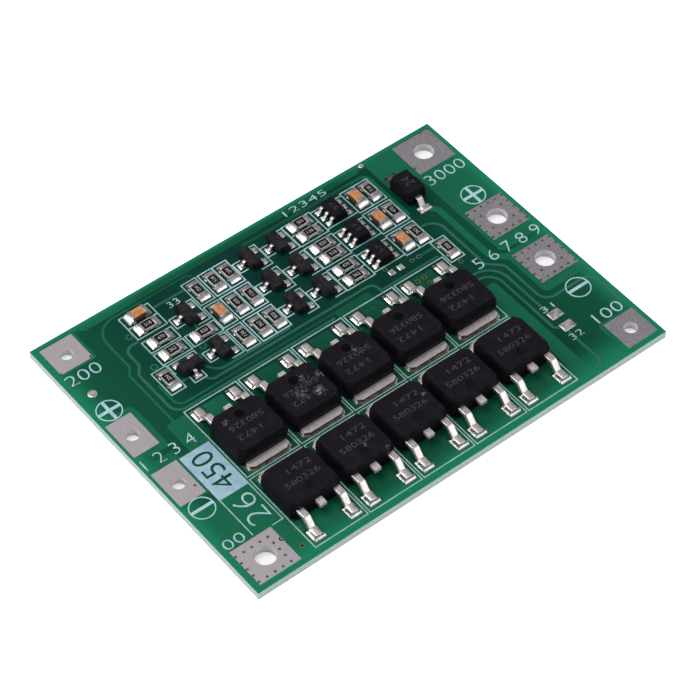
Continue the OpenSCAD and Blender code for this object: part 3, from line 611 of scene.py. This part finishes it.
ink = bmesh.new()
for text, x0, y0, x1, y1, turn in (
    ("00", 0.7, 6.1, 3.3, 7.4, 0),
    ("100", 51.0, 5.3, 54.8, 6.8, 0),
    ("200", 0.6, 33.7, 4.9, 35.3, 0),
    ("3000", 49.9, 32.7, 55.3, 34.3, 0),
    ("1 2 3 4", 0.4, 19.5, 7.0, 21.1, 0),
    ("5 6 7 8 9", 45.9, 19.5, 55.3, 21.1, 0),
    ("26", 4.6, 6.9, 7.3, 11.0, 90),
    ("31", 47.2, 10.2, 48.9, 11.0, 0),
    ("32", 47.2, 5.3, 48.9, 6.2, 0),
    ("33", 15.6, 36.3, 17.1, 37.2, 0),
    ("12345", 34.0, 39.2, 39.9, 40.1, 0),
):
    number(ink, text, to_row(x0, y0), to_row(x1, y1), turn, laminate_top, print_top,
           -0.02 if turn else -0.012)
closed(ink, "printed_numbers", [legend_ink])

field = bmesh.new()
number(field, "450", to_row(4.6, 12.6), to_row(7.1, 18.1), 90, land_top, 1.086 * mm, -0.004)
closed(field, "rating_number", [mask_on_laminate])

# ---------------------------------------------------------------------------
# Power transistors
# Black epoxy moulded round a tinned copper frame. The back of the frame is the drain tab,
# soldered flat, and two bent leads reach the board. Two rows of digits are marked by laser.
moulded_epoxy = finish("moulded epoxy", tone(19, 15, 23), 0.6, specular=0.14)
epoxy_colour = coloured(moulded_epoxy, cloud(moulded_epoxy, 900, 4.0),
                        tone(14, 10, 18), tone(23, 19, 27))
relief(moulded_epoxy, cloud(moulded_epoxy, 11000, 2.0), 0.012 * mm)
case_top = 3.39 * mm


def smudges(made, under, spots, colour):
    """White flux residue round each spot, broken up by noise.

    A spot is its x and y from the board's corner and its reach, in mm, and its strength.
    """
    tree = made.node_tree
    place = place_of(tree)
    grain = ramped(tree, cloud(made, 2600, 5.0), 0.46, 0.62)
    total = 0.0
    for x, y, reach, strength in spots:
        away = tree.nodes.new("ShaderNodeVectorMath")
        away.operation = "DISTANCE"
        away.inputs[1].default_value = to_row(x, y) + Vector((0, 0, case_top))
        tree.links.new(place, away.inputs[0])
        spot = ramped(tree, away.outputs["Value"], 0.1 * reach * mm, reach * mm, strength, 0)
        total = maths(tree, "ADD", spot, total)
    mixed(made, maths(tree, "MULTIPLY", grain, total), under, colour)


smudges(moulded_epoxy, epoxy_colour, (
    (19.7, 17.9, 0.9, 0.5), (21.6, 17.2, 0.8, 0.6), (18.3, 16.4, 1.2, 0.35), (20.1, 15.4, 1.0, 0.8),
    (26.4, 17.6, 0.9, 0.55), (9.6, 18.2, 0.6, 0.4), (19.3, 6.7, 0.5, 0.5), (20.9, 5.0, 0.5, 0.4),
    (28.4, 8.2, 0.4, 0.5),
), tone(150, 148, 158))

# Painted shade: the floors of the mould marks are darker than the epoxy, more so in the back row.
mark_floor_shade = finish("floor of the mould mark", tone(10, 8, 12), 0.7, specular=0.05)
coloured(mark_floor_shade, cloud(mark_floor_shade, 2000), tone(6, 5, 8), tone(12, 10, 14))
shallow_mark_shade = finish("floor of a shallow mark", tone(16, 13, 19), 0.6, specular=0.1)
coloured(shallow_mark_shade, cloud(shallow_mark_shade, 2000), tone(13, 10, 16), tone(18, 15, 21))

laser_mark = finish("laser mark", tone(66, 62, 68), 0.7, specular=0.14)
coloured(laser_mark, cloud(laser_mark, 5000, 3.0), tone(46, 43, 49), tone(78, 74, 80))

tinned_copper = finish("tinned copper", tone(212, 202, 203), 0.4, 0.35)
coloured(tinned_copper, cloud(tinned_copper, 3200, 3.0), tone(204, 193, 194), tone(224, 215, 215))
relief(tinned_copper, cloud(tinned_copper, 4000, 2.0), 0.006 * mm)
cut_copper = finish("cut end of the frame", tone(120, 96, 76), 0.5, 0.5)
coloured(cut_copper, cloud(cut_copper, 2500, 3.0), tone(84, 66, 54), tone(150, 124, 98))

bright_lead = finish("bright lead", tone(234, 227, 222), 0.36, 0.9)
coloured(bright_lead, cloud(bright_lead, 2400, 2.0), tone(224, 216, 211), tone(242, 236, 232))
relief(bright_lead, cloud(bright_lead, 2600, 2.0), 0.008 * mm)

# The mould mark: its distance from the lead side, its reach and the depths of its floor.
mark_in, mark_reach = 1.4 * mm, 0.6 * mm
mark_bottom, mark_rim = 0.11 * mm, 0.03 * mm
# The case's top lies a little lower and reaches further out on the tab side; tabs are cut.
top_drop, edge_out = 0.01 * mm, 0.14 * mm
tab_reach, front_cut, back_cut = 0.8 * mm, 0.15 * mm, 0.05 * mm
# Digits are let into a top by sink, and stand proud of it on the small packages.
sink, proud = 0.03 * mm, 0.004 * mm
half_digit = 0.38 * mm
marks = bmesh.new()
for count in range(1, 11):
    node = f"mosfet_{count}_case"
    low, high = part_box(node)
    front_row = count < 6
    facing = 1 if front_row else -1
    tab_face, lead_face = (high[1], low[1]) if front_row else (low[1], high[1])
    middle, centre = (low[0] + high[0]) / 2, (low[1] + high[1]) / 2
    mark = Vector((middle, lead_face + facing * mark_in))
    case = opened(node)
    for v in case.verts:
        if v.co.z > high[2] - top_drop:
            v.co.z = high[2] - top_drop
            if (v.co.y - centre) * facing > 2 * mm:
                v.co.y += facing * edge_out
    floor = shallow_mark_shade if front_row else mark_floor_shade
    softened(node, 0.05 * mm, [moulded_epoxy, floor], 3, body=case,
             pick=lambda face: int(
                 high[2] - mark_bottom < face.calc_center_median().z < high[2] - mark_rim
                 and (face.calc_center_median().xy - mark).length < mark_reach))
    tab = opened(f"mosfet_{count}_drain_tab")
    end = tab_face + facing * tab_reach
    for v in tab.verts:
        if (v.co.y - end) * facing > 0:
            v.co.y -= facing * (front_cut if front_row else back_cut)
    softened(f"mosfet_{count}_drain_tab", 0.04 * mm, [tinned_copper, cut_copper],
             body=tab, pick=lambda face: int(face.normal.y * facing > 0.8))
    softened(f"mosfet_{count}_leads", 0.09 * mm, [bright_lead], 3, 40)
    for text, half, away, shift in (("1472", 1.55, 0.75, 0.65), ("580326", 2.2, -0.75, 0)):
        x, y = middle + shift * facing * mm, centre + facing * (0.35 + away) * mm
        number(marks, text, (x - half * mm, y - half_digit), (x + half * mm, y + half_digit),
               0 if front_row else 180, high[2] - sink, high[2] - 0.002 * mm, 0.012)
closed(marks, "case_marks", [laser_mark])

# ---------------------------------------------------------------------------
# Small packages: monitor chips, small transistors and the diode
# The same black epoxy, moulded over thin copper frames. Short bent leads with a bright
# tinned skin hold each package; the diode's back lead is painted dark, a painted shade.
small_epoxy = finish("epoxy of small packages", tone(32, 29, 33), 0.55, specular=0.16)
coloured(small_epoxy, cloud(small_epoxy, 1600, 4.0), tone(22, 19, 23), tone(44, 40, 45))
relief(small_epoxy, cloud(small_epoxy, 9000, 2.0), 0.012 * mm)
monitors = ("monitor_1", "monitor_2", "monitor_3")
for node in [f"{monitor}_case" for monitor in monitors] + ["transistor_cases", "diode_case"]:
    softened(node, (0.12 if node == "diode_case" else 0.05) * mm,
             [small_epoxy if node == "transistor_cases" else moulded_epoxy])
for node in [f"{monitor}_leads" for monitor in monitors] + ["transistor_leads"]:
    softened(node, 0.035 * mm, [bright_lead], 2, 40)
# Painted shade: the diode's back lead is the same tin, painted dark behind the body.
shaded_lead = finish("lead in painted shade", tone(96, 98, 96), 0.5, 0.6)
coloured(shaded_lead, cloud(shaded_lead, 3000, 3.0), tone(70, 78, 74), tone(118, 118, 116))
diode_low, diode_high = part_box("diode_case")
diode_back = diode_high[1] - 0.5 * mm
softened("diode_leads", 0.035 * mm, [bright_lead, shaded_lead], 2, 40,
         pick=lambda face: int(face.calc_center_median().y > diode_back))
marks = bmesh.new()
for text, node, in_x, in_y in [("24", "diode_case", 0.65, 1.1)] + [
        ("57", f"{monitor}_case", 0.55, 0.8) for monitor in monitors]:
    low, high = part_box(node)
    number(marks, text, (low[0] + in_x * mm, low[1] + in_y * mm),
           (high[0] - in_x * mm, high[1] - in_y * mm), 90, high[2] - sink, high[2] + proud, 0.01)
closed(marks, "package_marks", [laser_mark])

# ---------------------------------------------------------------------------
# Chip resistors and capacitors
# White or brown ceramic blocks with plated ends that wrap them, soldered at both ends. A
# resistor has a black glass coat with a pale number between its ends.
white_ceramic = finish("white ceramic", tone(214, 212, 204), 0.5)
coloured(white_ceramic, cloud(white_ceramic, 3000), tone(196, 194, 186), tone(222, 220, 214))
black_glass = finish("black glass coat", tone(20, 19, 21), 0.35, specular=0.2)
coloured(black_glass, cloud(black_glass, 4000), tone(12, 11, 13), tone(22, 21, 24))
brown_ceramic = finish("brown ceramic", tone(192, 130, 80), 0.55)
coloured(brown_ceramic, cloud(brown_ceramic, 2200), tone(190, 122, 68), tone(214, 150, 100))
# Painted shade: the capacitors' sides are painted darker brown than their tops.
shaded_brown_side = finish("side in painted shade", tone(110, 66, 36), 0.6)
coloured(shaded_brown_side, cloud(shaded_brown_side, 2200), tone(92, 54, 30), tone(128, 80, 44))
chip_plating = finish("chip plating", tone(180, 173, 175), 0.38, 0.85)
coloured(chip_plating, cloud(chip_plating, 3000, 3.0), tone(160, 152, 154), tone(204, 198, 199))
relief(chip_plating, cloud(chip_plating, 4200, 2.0), 0.012 * mm)
coat_mark = finish("coat mark", tone(190, 188, 186), 0.6)
coloured(coat_mark, cloud(coat_mark, 6000), tone(158, 156, 155), tone(205, 203, 202))

for node, width, paints, slot in (
    ("resistor_bodies", 0.02, [white_ceramic], "chip_ceramic"),
    ("resistor_coats", 0.012, [black_glass], "resistor_coat"),
    ("resistor_ends", 0.03, [chip_plating], "chip_plating"),
    ("capacitor_bodies", 0.06, [brown_ceramic, shaded_brown_side], "capacitor_ceramic"),
    ("capacitor_ends", 0.05, [chip_plating], "chip_plating"),
):
    softened(node, width * mm, paints,
             pick=lambda face: int(len(paints) > 1 and face.normal.z < 0.5))



def corners(part):
    """Low and high corner of a piece of a mesh."""
    spots = [v.co for face in part for v in face.verts]
    return [[end(p[k] for p in spots) for k in range(3)] for end in (min, max)]


digits = bmesh.new()
coats = opened("resistor_coats")
codes = ("204", "362", "470", "518", "820", "136")
# Sorted by place, so that a resistor has the same number after each run.
for index, (low, high) in enumerate(sorted(corners(part) for part in loose_parts(coats))):
    middle = [(low[k] + high[k]) / 2 for k in range(3)]
    lying = high[0] - low[0] > high[1] - low[1]
    half = (0.42, 0.23) if lying else (0.23, 0.42)  # of the number, in mm
    number(digits, codes[index % len(codes)], [middle[k] - half[k] * mm for k in (0, 1)],
           [middle[k] + half[k] * mm for k in (0, 1)], 0 if lying else 90,
           high[2] - 0.01 * mm, high[2] + 0.006 * mm)
coats.free()
closed(digits, "resistor_numbers", [coat_mark])

# ---------------------------------------------------------------------------
# Solder
# Tin alloy that has run round each foot and end, and set with a bright skin. Small beads of
# it have stayed beside the tabs of the back row.
bright_solder = finish("bright solder", tone(228, 223, 222), 0.3, 0.95)
coloured(bright_solder, cloud(bright_solder, 1500, 2.0), tone(212, 206, 206), tone(240, 236, 235))
relief(bright_solder, cloud(bright_solder, 1800, 2.0), 0.022 * mm)
# Painted shade: solder in the gap between the rows and on the diode's far pad is painted dark
# green-grey.
shaded_solder = finish("solder in painted shade", tone(70, 84, 76), 0.5, 0.5)
coloured(shaded_solder, cloud(shaded_solder, 1500, 3.0), tone(34, 56, 46), tone(104, 110, 104))


def in_shade(place, normal):
    """Where solder is painted in shade: the thin skirts beside the drain tabs, and the far pad of
    the diode.
    """
    if place.x > diode_low[0] and place.y > diode_back:
        return True
    off_gap = abs(place.y + 8.175 * mm)
    return place.z < 1.13 * mm and normal.z > 0.5 and off_gap < 1.0 * mm


softened("solder_joints", 0.05 * mm, [bright_solder, shaded_solder], 3,
         pick=lambda face: int(in_shade(face.calc_center_median(), face.normal)))

beads = bmesh.new()
for count in range(6, 11):
    low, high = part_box(f"mosfet_{count}_drain_tab")
    for from_right, from_front, size in ((-0.32, -0.06, 0.13), (-0.05, 0.2, 0.1)):
        centre = (high[0] + from_right * mm, low[1] + from_front * mm, 1.1 * mm)
        bmesh.ops.create_icosphere(beads, subdivisions=2, radius=size * mm,
                                   matrix=Matrix.Translation(centre))
for face in beads.faces:
    face.smooth = True
closed(beads, "solder_beads", [bright_solder])
